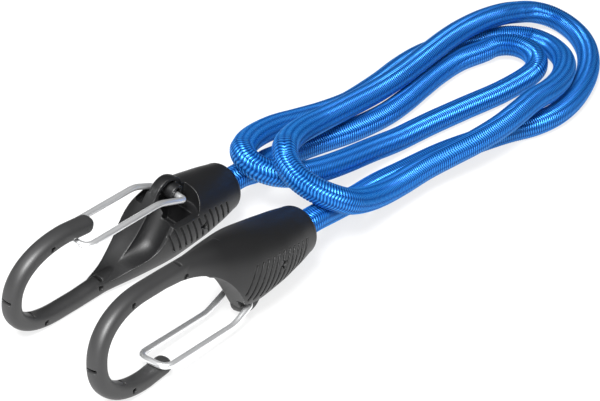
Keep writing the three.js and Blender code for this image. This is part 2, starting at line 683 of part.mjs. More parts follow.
// The part's origin is under the middle of the two hooks
function centre(hooks) {
  const box = new THREE.Box3();
  for (const one of hooks) {
    box.expandByObject(one, true);
  }
  const middle = box.getCenter(vec(0, 0));
  for (const one of hooks) {
    one.position.x -= middle.x;
    one.position.y -= middle.y;
    one.updateMatrixWorld(true);
  }
}

// Points of one bend, its height a smooth curve through those at start, middle and end
function bendPoints({ centre: [x, y], radius, from, to, heights }) {
  const steps = Math.round(Math.abs(to - from) / BEND_STEP_DEGREES);
  return Array.from({ length: steps + 1 }, (_, i) => {
    const share = i / steps;
    const turn = THREE.MathUtils.degToRad(THREE.MathUtils.lerp(from, to, share));
    const [start, middle, end] = heights;
    const height = 2 * start * (share - 0.5) * (share - 1) + 4 * middle * share * (1 - share)
      + 2 * end * share * (share - 0.5);
    return vec(x + radius * Math.cos(turn), y + radius * Math.sin(turn), height);
  });
}

// Cord from the first hook's socket, through the hank, to the second hook's socket
function cordRoute(hooks) {
  const ends = hooks.map((one) => {
    const points = [HOOK_LENGTH - SOCKET_DEPTH + GAP, HOOK_LENGTH, HOOK_LENGTH + CORD_DIAMETER];
    return points.map((x) => vec(x, SOCKET_Y).applyMatrix4(one.matrixWorld));
  });
  const run = (name) => RUNS[name].map(([x, y, z]) => vec(x, y, z));
  return [
    ...ends[0],
    ...run('fromHookOne'), ...bendPoints(BENDS.innerRight),
    ...run('innerReturn'), ...run('middleOut'),
    ...run('middleReturn'), ...bendPoints(BENDS.frontLeft),
    ...run('outerOut'), ...run('outerReturn'),
    ...ends[1].reverse(),
  ];
}

// Least clear space between stretches of the cord that lie further apart along it than a few diameters
function leastGap(curve, count) {
  const points = curve.getSpacedPoints(count);
  const apart = Math.ceil((2.5 * CORD_DIAMETER * count) / curve.getLength());
  let least = Infinity;
  for (let i = 0; i < points.length; i += 1) {
    for (let j = i + apart; j < points.length; j += 1) {
      least = Math.min(least, points[i].distanceTo(points[j]));
    }
  }
  return least - CORD_DIAMETER;
}

function cord(hooks) {
  const route = cordRoute(hooks);
  const curve = new THREE.CatmullRomCurve3(route, false, 'centripetal');
  curve.arcLengthDivisions = 2000;
  const points = curve.getPoints(Math.round(STATIONS_PER_POINT * (route.length - 1)));
  for (const point of points) {
    point.z = Math.max(point.z, TABLE);
  }
  let sheath = toSolid(tube(points, CORD_DIAMETER / 2, SHEATH_SIDES));
  const longer = [...points];
  const first = points[0].clone().sub(points[1]).setLength(PAST).add(points[0]);
  const last = points[points.length - 1];
  const past = last.clone().sub(points[points.length - 2]).setLength(PAST).add(last);
  longer[0] = first;
  longer[longer.length - 1] = past;
  sheath = sheath.subtract(toSolid(tube(longer, SHEATH_BORE / 2, CORE_SIDES)));
  const coreRadius = SHEATH_BORE / 2 - GAP / Math.cos(Math.PI / CORE_SIDES);
  let core = toSolid(tube(points, coreRadius, CORE_SIDES));
  for (const one of hooks) {
    const hole = new THREE.CylinderGeometry(CROSS_PIN_DIAMETER / 2 + GAP, CROSS_PIN_DIAMETER / 2 + GAP,
      2 * CORD_DIAMETER, 12);
    hole.rotateX(Math.PI / 2);
    hole.translate(CROSS_PIN_X, SOCKET_Y, 0);
    hole.applyMatrix4(one.matrixWorld);
    const cutter = toSolid(hole);
    sheath = sheath.subtract(cutter);
    core = core.subtract(cutter);
  }
  const length = curve.getLength().toFixed(0);
  console.log(`cord length ${length} mm, least gap to itself ${leastGap(curve, 900).toFixed(2)} mm`);
  return [named('braided_sheath', toGeometry(sheath), BRAID), named('rubber_core', toGeometry(core), RUBBER)];
}

const hooks = [hook(1, HOOK_ONE), hook(2, HOOK_TWO)];
centre(hooks);
const bungeeCord = new THREE.Group();
bungeeCord.add(...hooks, ...cord(hooks));

export default bungeeCord;
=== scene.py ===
"""Elastic bungee cord with two moulded carabiner hooks, dressed over its plain solids.

Hook sizes are in millimetres, in each hook's own axes: x from the nose to the cord end, y from the
spine's back to the gate, z across. The cord's route is in millimetres in the part's frame. Finished
meshes are in metres in that frame.
"""
import json
import math

import bpy
import numpy as np
from mathutils import Matrix, Vector


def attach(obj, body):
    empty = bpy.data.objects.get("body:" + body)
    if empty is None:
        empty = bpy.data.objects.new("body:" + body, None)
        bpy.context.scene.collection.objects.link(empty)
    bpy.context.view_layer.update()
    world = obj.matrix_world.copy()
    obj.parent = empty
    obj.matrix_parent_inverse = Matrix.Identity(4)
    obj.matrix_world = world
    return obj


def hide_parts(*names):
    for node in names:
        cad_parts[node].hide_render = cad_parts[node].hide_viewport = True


MM = 0.001

# Camera: the point in the middle of its view and the distance from it in millimetres, angles in degrees
CAMERA_TARGET = (91.24, 8.0, 0.0)
CAMERA_DISTANCE = 729.5
CAMERA_ELEVATION = 34.12
CAMERA_HEADING = 54.06
CAMERA_ROLL = 5.8
CAMERA_LENS = 112.19
CAMERA_SENSOR = 36
CAMERA_NEAR = 0.05
CAMERA_FAR = 50

# Studio: white floor and sky, and two lights that point at one place, in metres and watts
FLOOR_HALF = 6.0
FLOOR_GREY = 0.22
FLOOR_ROUGHNESS = 0.9
FLOOR_GLOSS = 0.1
FLOOR_GLOW = 0.78
SKY_GLOW = 0.08
WHITE = (1, 1, 1, 1)
LIGHT_TARGET = (0.1, 0, 0)
LIGHTS = {
    "key": {"offset": (-0.62, -0.2, 0.86), "size": 0.4, "power": 25},
    "fill": {"offset": (-0.70, -0.5, 0.62), "size": 0.5, "power": 6},
}

# Cord, with the height of its middle where it lies on the table
CORD_DIAMETER = 10
CORE_DIAMETER = 7.4
TABLE_CLEARANCE = 0.05
TABLE = CORD_DIAMETER / 2 + TABLE_CLEARANCE
BRAID_COLUMNS = 12
POINTS_PER_COLUMN = 4
STITCH_PITCH = 1.1
ROWS_PER_STITCH = 6
STITCH_SLANT = 0.6
STITCH_HEIGHT = 0.2
STITCH_FULLNESS = 0.75
COLUMN_DIP = 0.1
CURVE_STEPS = 24
CORE_STEP = 2.0
CORE_SIDES = 16

# Bends of the hank: centre, radius, start and end direction in degrees, and three heights
BEND_STEP_DEGREES = 22
INNER_RIGHT = {"centre": (233.8, 7.3), "radius": 13, "turn": (85, -100), "heights": (6, 8.2, 5.5)}
FRONT_LEFT = {"centre": (77.2, -10.8), "radius": 14.3, "turn": (-95, -235), "heights": (23.4, 31.5, 36.4)}

# Runs of the hank between the bends, as in the part's source
FROM_HOOK_ONE = [
    (80, 22.5, 12.5), (92, 26.5, 9), (108, 27.5, 5.5), (120, 25.6, TABLE), (140, 21, TABLE),
    (160, 19, TABLE), (175, 19.8, TABLE), (190, 21.8, TABLE), (206, 23.6, TABLE), (221, 23.6, 5.3),
]
INNER_RETURN = [
    (212, -4.5, TABLE), (187, -0.8, TABLE), (162, 2.4, TABLE), (147, 3, 6), (128.5, 3.1, 9),
    (110, 1.8, 13), (94, 0.8, 17), (82, 0.8, 20.3), (74, 2.6, 22.6), (68.2, 5.4, 24.8), (64.8, 9.7, 26.6),
    (64.5, 14.8, 27.8), (67.4, 19.5, 28), (72.6, 23, 26.5), (80, 26.8, 24),
]
MIDDLE_OUT = [
    (92, 31.5, 19.7), (106.5, 35.1, 15), (124.5, 36.3, 10), (141, 36.2, 6.5), (157, 35.3, TABLE),
    (179, 36.2, TABLE), (196, 38, TABLE), (211, 38.2, TABLE), (225, 35.8, TABLE), (237, 31.8, TABLE),
    (248, 26, TABLE), (257.3, 19.2, TABLE), (262, 12, TABLE), (260.9, 3.5, 6), (253.8, -6.8, 8.6),
    (243.4, -15.7, 11.4),
]
MIDDLE_RETURN = [
    (231.5, -21.9, 13), (220.6, -25.1, 14.2), (211.5, -26.5, 15.2), (199.5, -27, 16.3),
    (187, -28.2, 16.5), (173, -28.7, 15.8), (157, -27.5, 14.8), (144, -25, 13.5), (131, -22.4, 12),
    (115, -21.7, 11.6), (101, -22.3, 13.5), (87, -23.8, 18),
]
OUTER_OUT = [
    (80, 8.5, 31.5), (92.5, 15.2, 26), (105.5, 20.4, 21), (120, 23.4, 17.3), (141, 24.5, 15),
    (162, 25, 13.7), (177, 25.3, 14.2), (190, 26.6, 14.4), (202, 27.6, 15), (214.5, 28.5, 15.6),
    (226, 28.7, 15.9), (240.3, 27.6, 16), (254, 25.7, 15), (264.9, 24.4, 12.6), (275.7, 21.9, 9.8),
    (282, 16.9, 7.6), (284, 10.3, 6.1), (281.3, 0.9, 5.3), (274.6, -8.1, TABLE), (264.8, -16, TABLE),
    (252.7, -22.5, TABLE),
]
OUTER_RETURN = [
    (239.5, -27.2, TABLE), (225.5, -30.3, TABLE), (212, -31, TABLE), (200, -29, TABLE),
    (187, -24.2, TABLE), (171, -19.8, TABLE), (152, -15.3, TABLE), (129, -12.3, TABLE), (113, -10.5, TABLE),
    (101, -11.2, 6.2), (91, -13.2, 9.5), (79, -15.6, 13.3),
]

# Clearance between neighbours, how far a cutter runs past what it cuts, and places beyond the hook
GAP = 0.3
PAST = 1
FAR = 40
TOP_Y = FAR + 20

# Hook bar
HOOK_LENGTH = 112
BAR_DEPTH = 6.2
BAR_WIDTH = 6.6
EYE_HEIGHT = 34.6
NOSE_REACH = 23.2
NOSE_FULLNESS = 2.24
TIP_X = 38.8
TIP_DROP = 0.9
SPINE_X = 64
SPINE_DEPTH = 9
SPINE_TAPER = 1.3
BAR_SQUARENESS = 2.5
NOSE_X = BAR_DEPTH / 2 + NOSE_REACH
TIP_Y = BAR_DEPTH / 2 + EYE_HEIGHT
TIP_DOME = (0.3, 0.5, 0.7, 0.85, 0.94, 0.99)

# Hook grip: x, back, gate side, half width and squareness of each section, up to the round mouth
MOUTH_RADIUS = 9.8
MOUTH_ROUNDING = 2.4
MOUTH_TURN_IN = 0.6
MOUTH_STOPS = (0.25, 0.5, 0.7, 0.85, 0.95, 1)
SOCKET_Y = 16.4
SOCKET_DEPTH = 27
ROUND = 2
GRIP_SQUARENESS = 2.3
GRIP_SECTIONS = [
    (42, 0.5, 6.5, 2.9, GRIP_SQUARENESS),
    (50, 0.1, 13, 4.6, GRIP_SQUARENESS),
    (58, 0.1, 22, 7.2, GRIP_SQUARENESS),
    (67, 0.4, 29.6, 9.8, GRIP_SQUARENESS),
    (78, 1.6, 31, 11.8, GRIP_SQUARENESS),
    (90, 3.8, 29.2, 12.1, GRIP_SQUARENESS),
    (101, 5.5, 27.3, 11, GRIP_SQUARENESS),
    (HOOK_LENGTH - MOUTH_ROUNDING, SOCKET_Y - MOUTH_RADIUS, SOCKET_Y + MOUTH_RADIUS, MOUTH_RADIUS, ROUND),
]
GRIP_START_X = GRIP_SECTIONS[0][0]
THROAT = ((46, 6.2), (64, 8.4), (67, 22), (74.5, 32))

# Gate
WIRE_DIAMETER = 2.4
PIVOT = (79.2, 29)
PIN_OFFSET = (2.3, -0.6)
FLOOR_PIN_LENGTH = 3.9
BOSS_PIN_LENGTH = 6
LEG_BEND_X = 67.5
LEG_RISE = 0.6
LEG_BEND_REACH = (0, 1.6, 3, 4)
GATE_END_X = 30.6
GATE_OPEN_DEGREES = 27

# Heel, with its arch, its boss and the slot for one leg
HEEL_WIDTH = 9.4
HEEL_FLOOR = 2.5
ARCH_CENTRE = (79.6, 28.2)
ARCH_RADIUS = 7
ARCH_BACK_RADIUS = 5.2
ARCH_WALL = 1.6
BOSS_RADIUS = 3.2
BOSS_END_Z = 2.6
SLOT_BACK_X = 80.8
SLOT_FLOOR_Y = 25.6
LEG_Z = HEEL_WIDTH / 2 + GAP + WIRE_DIAMETER / 2
SLOT_OUTER_Z = HEEL_WIDTH / 2 + WIRE_DIAMETER + 2 * GAP

# Open side of the heel, its web and its well
OPEN_FLOOR_Y = 22.4
WEB_END_X = 74.2
WEB_RISE = 3.2
OPEN_ROUND_X = 79.8
OPEN_ROUND_Z = 4.2
OPEN_ROUND_RADIUS = 8.5
OPEN_ROUND_LAP = 0.05
OPEN_END_X = OPEN_ROUND_X + OPEN_ROUND_RADIUS
WELL_SIDE_Z = 8.6
WELL_FLOOR_Y = 14
WELL_WALL = 1.2

# Scoop at one side of the throat
SCOOP_RANGE = (0.2, 0.97)
SCOOP_HALF_WIDTH = 5.2
SCOOP_DEPTH = 4.4
SCOOP_LEAST_DEPTH = 0.03
SCOOP_RUN_IN = 0.43
SCOOP_RIM = 0.75

# Ribs
RIB_PITCH = 3
RIB_GROOVE = 1
RIB_DEPTH = 0.9
RIB_FIRST_X = 74
RIB_LAST_X = 104
RIB_FOOT_Y = 10.8
RIB_FOOT_RISE = 0.14
RIB_RISE_X = 87
RIB_RIM = 0.9
RIB_OPEN_END_Y = 24
RIB_OPEN_FALL = 0.25
RIB_SHUT_END_Y = 25.4
RIB_SHUT_FALL = 0.06
RIB_SLANT_DEGREES = 23

# Steel core, the moulding marks round it, and the cross pin's hole
STEEL_DIAMETER = 3
STEEL_END_X = 70
MARK_HOLE = 1.8
MARK_SLOT_WIDTH = 1.3
MARK_SLOT_LENGTH = 4
SPINE_HOLE_X = 44.6
SPINE_HOLE_RISE = 1.4
NOSE_HOLE_X = 18
SPINE_INNER_SLOT_X = 45.8
SPINE_OUTER_SLOT_X = 43
NOSE_SLOTS = ((2, 1), (-53, -1), (60, -1))
CROSS_PIN_DIAMETER = 2.4
CROSS_PIN_X = 88.5

# Stretch of the bar painted lighter than the grip: partly its lighter matte finish, partly a painted sheen
SHEEN_END_X = 62
SHEEN_RUN = 24

# Fineness of the hook's forms, and how its edges are softened
BAR_STEPS_PER_MM = 1.2
STEEL_STEPS_PER_MM = 0.4
NOSE_STEPS = 80
TIP_STEPS = 4
NOSE_NUDGE = 0.01
BAR_SIDES = 40
STEEL_SIDES = 16
GRIP_RINGS = 72
GRIP_SIDES = 80
THROAT_POINTS = 60
SCOOP_STEPS = 60
ARCH_RINGS = 16
ARCH_STEPS = 40
PIN_HOLE_STEPS = 16
ROD_SIDES = 40
SOCKET_SIDES = 64
WIDE_ROUND_SIDES = 96
LEG_BEND_STEPS = 14
WIRE_SIDES = 28
VOXEL = 0.24
SMOOTH_STEPS = 2
SMOOTH_FACTOR = 0.5

Z_AXIS = (0.0, 0.0, 1.0)


def new_object(name, verts, faces, scale=MM):
    mesh = bpy.data.meshes.new(name)
    points = np.asarray(verts, float) * scale
    mesh.from_pydata(points.tolist(), [], [list(face) for face in faces])
    mesh.update()
    piece = bpy.data.objects.new(name, mesh)
    bpy.context.scene.collection.objects.link(piece)
    return piece


def smooth_shade(piece):
    piece.data.polygons.foreach_set("use_smooth", [True] * len(piece.data.polygons))
    piece.data.update()


# Camera and light


def make_camera():
    heading = math.radians(CAMERA_HEADING)
    elevation = math.radians(CAMERA_ELEVATION)
    roll = math.radians(CAMERA_ROLL)
    ahead = Vector((math.sin(heading), math.cos(heading), 0))
    right = Vector((math.cos(heading), -math.sin(heading), 0))
    up = ahead * math.sin(elevation) + Vector((0, 0, math.cos(elevation)))
    forward = ahead * math.cos(elevation) - Vector((0, 0, math.sin(elevation)))
    rolled_right = right * math.cos(roll) + up * math.sin(roll)
    rolled_up = up * math.cos(roll) - right * math.sin(roll)
    data = bpy.data.cameras.new("camera")
    data.lens = CAMERA_LENS
    data.sensor_width = CAMERA_SENSOR
    data.clip_start = CAMERA_NEAR
    data.clip_end = CAMERA_FAR
    camera = bpy.data.objects.new("camera", data)
    bpy.context.scene.collection.objects.link(camera)
    turn = Matrix((rolled_right, rolled_up, -forward)).transposed().to_4x4()
    place = Vector(CAMERA_TARGET) * MM - forward * CAMERA_DISTANCE * MM
    camera.matrix_world = Matrix.Translation(place) @ turn
    bpy.context.scene.camera = camera


def area_light(name, place, target, size, power):
    data = bpy.data.lights.new(name, "AREA")
    data.shape = "DISK"
    data.size = size
    data.energy = power
    light = bpy.data.objects.new(name, data)
    bpy.context.scene.collection.objects.link(light)
    light.location = place
    light.rotation_mode = "QUATERNION"
    light.rotation_quaternion = (target - place).to_track_quat("-Z", "Y")


def make_studio():
    half = FLOOR_HALF
    corners = [(-half, -half, 0), (half, -half, 0), (half, half, 0), (-half, half, 0)]
    floor = new_object("floor", corners, [(0, 1, 2, 3)], scale=1)
    material, _, shader = new_material("floor_white")
    shader.inputs["Base Color"].default_value = (FLOOR_GREY, FLOOR_GREY, FLOOR_GREY, 1)
    shader.inputs["Roughness"].default_value = FLOOR_ROUGHNESS
    shader.inputs["Specular IOR Level"].default_value = FLOOR_GLOSS
    shader.inputs["Emission Color"].default_value = WHITE
    shader.inputs["Emission Strength"].default_value = FLOOR_GLOW
    floor.data.materials.append(material)
    world = bpy.data.worlds.new("studio")
    world.use_nodes = True
    background = world.node_tree.nodes["Background"]
    background.inputs["Color"].default_value = WHITE
    background.inputs["Strength"].default_value = SKY_GLOW
    bpy.context.scene.world = world
    target = Vector(LIGHT_TARGET)
    for name, light in LIGHTS.items():
        area_light(name, target + Vector(light["offset"]), target, light["size"], light["power"])
    bpy.context.scene.view_settings.view_transform = "Standard"


# Materials


def new_material(name):
    material = bpy.data.materials.new(name)
    material.use_nodes = True
    return material, material.node_tree, material.node_tree.nodes["Principled BSDF"]


def node(tree, kind, **values):
    made = tree.nodes.new(kind)
    for key, value in values.items():
        if key in made.inputs:
            made.inputs[key].default_value = value
        else:
            setattr(made, key, value)
    return made


def noise(tree, coordinates, scale, detail):
    made = node(tree, "ShaderNodeTexNoise", Scale=scale, Detail=detail)
    tree.links.new(coordinates, made.inputs["Vector"])
    return made.outputs["Fac"]


def ramp(tree, factor, stops):
    """Colour that runs through the stops as the factor grows."""
    made = tree.nodes.new("ShaderNodeValToRGB")
    elements = made.color_ramp.elements
    while len(elements) < len(stops):
        elements.new(0.5)
    for element, (position, colour) in zip(elements, stops):
        element.position = position
        element.color = (*colour, 1)
    tree.links.new(factor, made.inputs["Fac"])
    return made.outputs["Color"]


def spread(tree, factor, low, high):
    """Value between low and high, as the factor runs from 0 to 1."""
    made = node(tree, "ShaderNodeMapRange")
    made.inputs["To Min"].default_value = low
    made.inputs["To Max"].default_value = high
    tree.links.new(factor, made.inputs["Value"])
    return made.outputs["Result"]


def bump(tree, shader, height, strength, distance):
    """Fine relief on top of what the shader already has."""
    made = node(tree, "ShaderNodeBump", Strength=strength, Distance=distance)
    tree.links.new(height, made.inputs["Height"])
    for link in list(shader.inputs["Normal"].links):
        tree.links.new(link.from_socket, made.inputs["Normal"])
    tree.links.new(made.outputs["Normal"], shader.inputs["Normal"])


def object_coordinates(tree):
    return tree.nodes.new("ShaderNodeTexCoord").outputs["Object"]


def plastic_material():
    material, tree, shader = new_material("moulded_nylon")
    place = object_coordinates(tree)
    grain = noise(tree, place, scale=2600, detail=2)
    finish_and_sheen = node(tree, "ShaderNodeAttribute", attribute_name="finish_and_sheen").outputs["Fac"]
    # The bar is painted lighter than the grip: partly a lighter matte finish, partly a painted sheen
    colour = ramp(tree, finish_and_sheen, [(0.0, (0.004, 0.0041, 0.0045)), (1.0, (0.022, 0.022, 0.0225))])
    tree.links.new(colour, shader.inputs["Base Color"])
    tree.links.new(spread(tree, grain, low=0.42, high=0.54), shader.inputs["Roughness"])
    shader.inputs["Specular IOR Level"].default_value = 0.55
    bump(tree, shader, grain, strength=0.25, distance=0.00006)
    return material


def zinc_material():
    material, tree, shader = new_material("zinc_wire")
    place = object_coordinates(tree)
    bloom = noise(tree, place, scale=120, detail=2)
    colour = ramp(tree, bloom, [(0.3, (0.90, 0.91, 0.92)), (0.7, (0.96, 0.97, 0.98))])
    tree.links.new(colour, shader.inputs["Base Color"])
    shader.inputs["Metallic"].default_value = 0.85
    haze = noise(tree, place, scale=160, detail=2)
    tree.links.new(spread(tree, haze, low=0.3, high=0.36), shader.inputs["Roughness"])
    return material


def steel_material():
    material, tree, shader = new_material("drawn_steel")
    place = object_coordinates(tree)
    stain = noise(tree, place, scale=500, detail=3)
    # Painted shade: the steel is coloured dark, so that the moulding marks' holes down to it read as shaded
    colour = ramp(tree, stain, [(0.3, (0.12, 0.12, 0.125)), (0.7, (0.2, 0.2, 0.205))])
    tree.links.new(colour, shader.inputs["Base Color"])
    shader.inputs["Metallic"].default_value = 1
    haze = noise(tree, place, scale=1200, detail=2)
    tree.links.new(spread(tree, haze, low=0.3, high=0.5), shader.inputs["Roughness"])
    return material


def braid_material():
    material, tree, shader = new_material("blue_braid")
    place = object_coordinates(tree)
    ridge = node(tree, "ShaderNodeAttribute", attribute_name="ridge").outputs["Fac"]
    # Painted shade in the grooves and a painted highlight on the crests, set by the stitches' ridge height
    colour = ramp(tree, ridge, [(0.05, (0.000, 0.026, 0.155)), (0.5, (0.0015, 0.066, 0.31)),
                                (0.88, (0.03, 0.24, 0.70))])
    tree.links.new(colour, shader.inputs["Base Color"])
    shader.inputs["Metallic"].default_value = 0.55
    shader.inputs["Specular Tint"].default_value = (0.45, 0.82, 1, 1)
    sheen = noise(tree, place, scale=2500, detail=2)
    tree.links.new(spread(tree, sheen, low=0.3, high=0.38), shader.inputs["Roughness"])
    shader.inputs["Specular IOR Level"].default_value = 0.8
    bump(tree, shader, ridge, strength=1, distance=0.00024)
    fibres = noise(tree, place, scale=5200, detail=2)
    bump(tree, shader, fibres, strength=0.2, distance=0.00005)
    return material


def rubber_material():
    material, tree, shader = new_material("pale_rubber")
    place = object_coordinates(tree)
    cloud = noise(tree, place, scale=400, detail=3)
    colour = ramp(tree, cloud, [(0.3, (0.58, 0.48, 0.28)), (0.7, (0.70, 0.60, 0.38))])
    tree.links.new(colour, shader.inputs["Base Color"])
    shader.inputs["Roughness"].default_value = 0.75
    return material


# Cord


def bend_points(bend):
    """Points of one bend, its height a smooth curve through those at start, middle and end."""
    first, last = bend["turn"]
    steps = round(abs(last - first) / BEND_STEP_DEGREES)
    start, middle, end = bend["heights"]
    points = []
    for i in range(steps + 1):
        share = i / steps
        turn = math.radians(first + (last - first) * share)
        height = (2 * start * (share - 0.5) * (share - 1) + 4 * middle * share * (1 - share)
                  + 2 * end * share * (share - 0.5))
        points.append((bend["centre"][0] + bend["radius"] * math.cos(turn),
                       bend["centre"][1] + bend["radius"] * math.sin(turn), height))
    return points


def socket_points(hook):
    """Where the cord runs in a hook's socket and straight out of its mouth, in millimetres."""
    stops = (HOOK_LENGTH - SOCKET_DEPTH + GAP, HOOK_LENGTH, HOOK_LENGTH + CORD_DIAMETER)
    return [tuple(hook @ Vector((x, SOCKET_Y, 0))) for x in stops]


def catmull_rom(points, steps):
    """Centripetal curve through the points, with even steps between each two."""
    points = np.asarray(points, float)
    points = np.vstack([2 * points[0] - points[1], points, 2 * points[-1] - points[-2]])
    shares = np.linspace(0, 1, steps, endpoint=False)[:, None]
    curve = []
    for i in range(1, len(points) - 2):
        p0, p1, p2, p3 = points[i - 1:i + 3]
        d0, d1, d2 = (math.sqrt(np.linalg.norm(b - a)) for a, b in ((p0, p1), (p1, p2), (p2, p3)))
        t1 = ((p1 - p0) / d0 - (p2 - p0) / (d0 + d1) + (p2 - p1) / d1) * d1
        t2 = ((p2 - p1) / d1 - (p3 - p1) / (d1 + d2) + (p3 - p2) / d2) * d1
        curve.append(p1 + t1 * shares + (3 * (p2 - p1) - 2 * t1 - t2) * shares ** 2
                     + (2 * (p1 - p2) + t1 + t2) * shares ** 3)
    curve.append(points[-2:-1])
    return np.vstack(curve)


def even_line(points, step):
    """The same line with points a set distance apart, or as near to it as the ends allow."""
    lengths = np.concatenate([[0], np.cumsum(np.linalg.norm(np.diff(points, axis=0), axis=1))])
    count = int(round(lengths[-1] / step))
    wanted = np.linspace(0, lengths[-1], count + 1)
    return np.stack([np.interp(wanted, lengths, points[:, k]) for k in range(3)], 1)


def carried_frames(points):
    """Two sides at each point of a line, square to it and carried along without twist."""
    ahead = np.gradient(points, axis=0)
    ahead /= np.linalg.norm(ahead, axis=1)[:, None]
    side = np.cross(Z_AXIS, ahead[0])
    runs_along_z = np.linalg.norm(side) < 0.1
    if runs_along_z:
        side = np.array((1.0, 0.0, 0.0))
    sides = []
    for direction in ahead:
        side = side - direction * side.dot(direction)
        side = side / np.linalg.norm(side)
        sides.append(side)
    sides = np.array(sides)
    return sides, np.cross(ahead, sides)


def grid_faces(rows, sides):
    """Quads of a closed tube's skin, with a face over each end."""
    faces = []
    for row in range(rows - 1):
        base = row * sides
        for k in range(sides):
            nxt = (k + 1) % sides
            faces.append((base + k, base + nxt, base + sides + nxt, base + sides + k))
    faces.append(tuple(range(sides - 1, -1, -1)))
    faces.append(tuple(range((rows - 1) * sides, rows * sides)))
    return faces


def round_tube(points, radius, sides):
    side, up = carried_frames(points)
    turn = 2 * math.pi * np.arange(sides) / sides
    rings = (points[:, None] + radius * (np.cos(turn)[None, :, None] * side[:, None]
                                         + np.sin(turn)[None, :, None] * up[:, None]))
    return rings.reshape(-1, 3), grid_faces(len(points), sides)


def cord_line(hooks):
    """Middle line of the cord, from one hook's socket through the hank to the other's."""
    route = [
        *socket_points(hooks[0]), *FROM_HOOK_ONE, *bend_points(INNER_RIGHT), *INNER_RETURN,
        *MIDDLE_OUT, *MIDDLE_RETURN, *bend_points(FRONT_LEFT), *OUTER_OUT, *OUTER_RETURN,
        *reversed(socket_points(hooks[1])),
    ]
    line = catmull_rom(route, CURVE_STEPS)
    line[:, 2] = np.maximum(line[:, 2], TABLE)
    return line


def make_sheath(line):
    """Herringbone braid: columns of round slanted stitches, every other column slanting the other way."""
    step = STITCH_PITCH / ROWS_PER_STITCH
    rows_at = even_line(line, step)
    rows = len(rows_at)
    sides = BRAID_COLUMNS * POINTS_PER_COLUMN
    side, up = carried_frames(rows_at)
    place = np.arange(sides) / POINTS_PER_COLUMN
    within = place % 1
    zigzag = np.where(place.astype(int) % 2 == 0, within, 1 - within) - 0.5
    at = np.clip(np.arange(rows)[:, None] + zigzag[None, :] * STITCH_SLANT / step, 0, rows - 1)
    row_below = np.minimum(at.astype(int), rows - 2)
    share = (at - row_below)[..., None]

    def blend(values):
        return values[row_below] * (1 - share) + values[row_below + 1] * share

    phase = np.arange(rows) % ROWS_PER_STITCH / ROWS_PER_STITCH
    bulge = ((1 - np.cos(2 * math.pi * phase))[:, None] / 2) ** STITCH_FULLNESS
    crown = np.sin(math.pi * within)[None, :]
    depth = STITCH_HEIGHT * (1 - bulge) + COLUMN_DIP * (1 - crown)
    radius = (CORD_DIAMETER / 2 - depth)[..., None]
    turn = 2 * math.pi * place / BRAID_COLUMNS
    skin = blend(rows_at) + radius * (np.cos(turn)[None, :, None] * blend(side)
                                      + np.sin(turn)[None, :, None] * blend(up))
    piece = new_object("sheath", skin.reshape(-1, 3), grid_faces(rows, sides))
    smooth_shade(piece)
    # The ridge height also sets the braid's painted groove shade and painted crest highlight
    height = 1 - depth / (COLUMN_DIP + STITCH_HEIGHT)
    attribute = piece.data.attributes.new("ridge", "FLOAT", "POINT")
    attribute.data.foreach_set("value", height.astype(np.float32).ravel())
    return piece


def make_cord(hooks, materials):
    line = cord_line(hooks)
    sheath = make_sheath(line)
    sheath.data.materials.append(materials["braid"])
    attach(sheath, "cord_and_hooks")
    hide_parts("braided_sheath")
    core_line = even_line(line, CORE_STEP)
    core = new_object("elastic_core", *round_tube(core_line, CORE_DIAMETER / 2, CORE_SIDES))
    smooth_shade(core)
    core.data.materials.append(materials["rubber"])
    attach(core, "cord_and_hooks")
    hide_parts("rubber_core")


# Hook


def signed_power(value, power):
    return np.sign(value) * np.abs(value) ** power


def section(centre, along, across, half_along, half_across, squareness, sides):
    """Ring of a rounded-square section, fuller as squareness grows."""
    turn = 2 * math.pi * (np.arange(sides) + 0.5) / sides
    first = half_along * signed_power(np.cos(turn), 2 / squareness)
    second = half_across * signed_power(np.sin(turn), 2 / squareness)
    return np.asarray(centre) + first[:, None] * np.asarray(along) + second[:, None] * np.asarray(across)


def loft(name, rings):
    rings = np.asarray(rings)
    return new_object(name, rings.reshape(-1, 3), grid_faces(len(rings), rings.shape[1]), scale=1)


def prism(name, outline, low, high):
    """Closed outline in x and y, given anticlockwise, drawn out from low to high along z."""
    count = len(outline)
    verts = [(x, y, low) for x, y in outline] + [(x, y, high) for x, y in outline]
    faces = [(k, (k + 1) % count, count + (k + 1) % count, count + k) for k in range(count)]
    faces += [tuple(range(count - 1, -1, -1)), tuple(range(count, 2 * count))]
    return new_object(name, verts, faces, scale=1)


def box(name, low, high):
    outline = [(low[0], low[1]), (high[0], low[1]), (high[0], high[1]), (low[0], high[1])]
    return prism(name, outline, low[2], high[2])


def rod(name, first, last, radius, sides=ROD_SIDES):
    return new_object(name, *round_tube(np.array([first, last], float), radius, sides), scale=1)


def boolean(target, other, operation):
    change = target.modifiers.new(operation, "BOOLEAN")
    change.operation = operation
    change.solver = "MANIFOLD"
    change.object = other
    apply_modifiers(target)
    bpy.data.objects.remove(other)


def apply_modifiers(piece):
    graph = bpy.context.evaluated_depsgraph_get()
    made = bpy.data.meshes.new_from_object(piece.evaluated_get(graph))
    piece.modifiers.clear()
    old = piece.data
    piece.data = made
    bpy.data.meshes.remove(old)


def spine_half_depth(x):
    """Half the bar's depth along the spine, which swells towards the grip."""
    share = (SPINE_X - x) / (SPINE_X - NOSE_X)
    return (SPINE_DEPTH + (BAR_DEPTH - SPINE_DEPTH) * min(1, share * SPINE_TAPER)) / 2


def nose_point(turn):
    """Point of the bar's middle line on the full round of the nose."""
    x = NOSE_X - NOSE_REACH * abs(math.cos(turn)) ** (2 / NOSE_FULLNESS)
    y = BAR_DEPTH / 2 + EYE_HEIGHT / 2 * (1 + float(signed_power(math.sin(turn), 2 / NOSE_FULLNESS)))
    return np.array([x, y])


def tip_line_y(x):
    return TIP_Y - TIP_DROP * (x - NOSE_X) / (TIP_X - BAR_DEPTH / 2 - NOSE_X)


def gate_end():
    """Middle of the gate's end, where it rests against the underside of the tip."""
    return GATE_END_X, tip_line_y(GATE_END_X) - BAR_DEPTH / 2 - WIRE_DIAMETER / 2


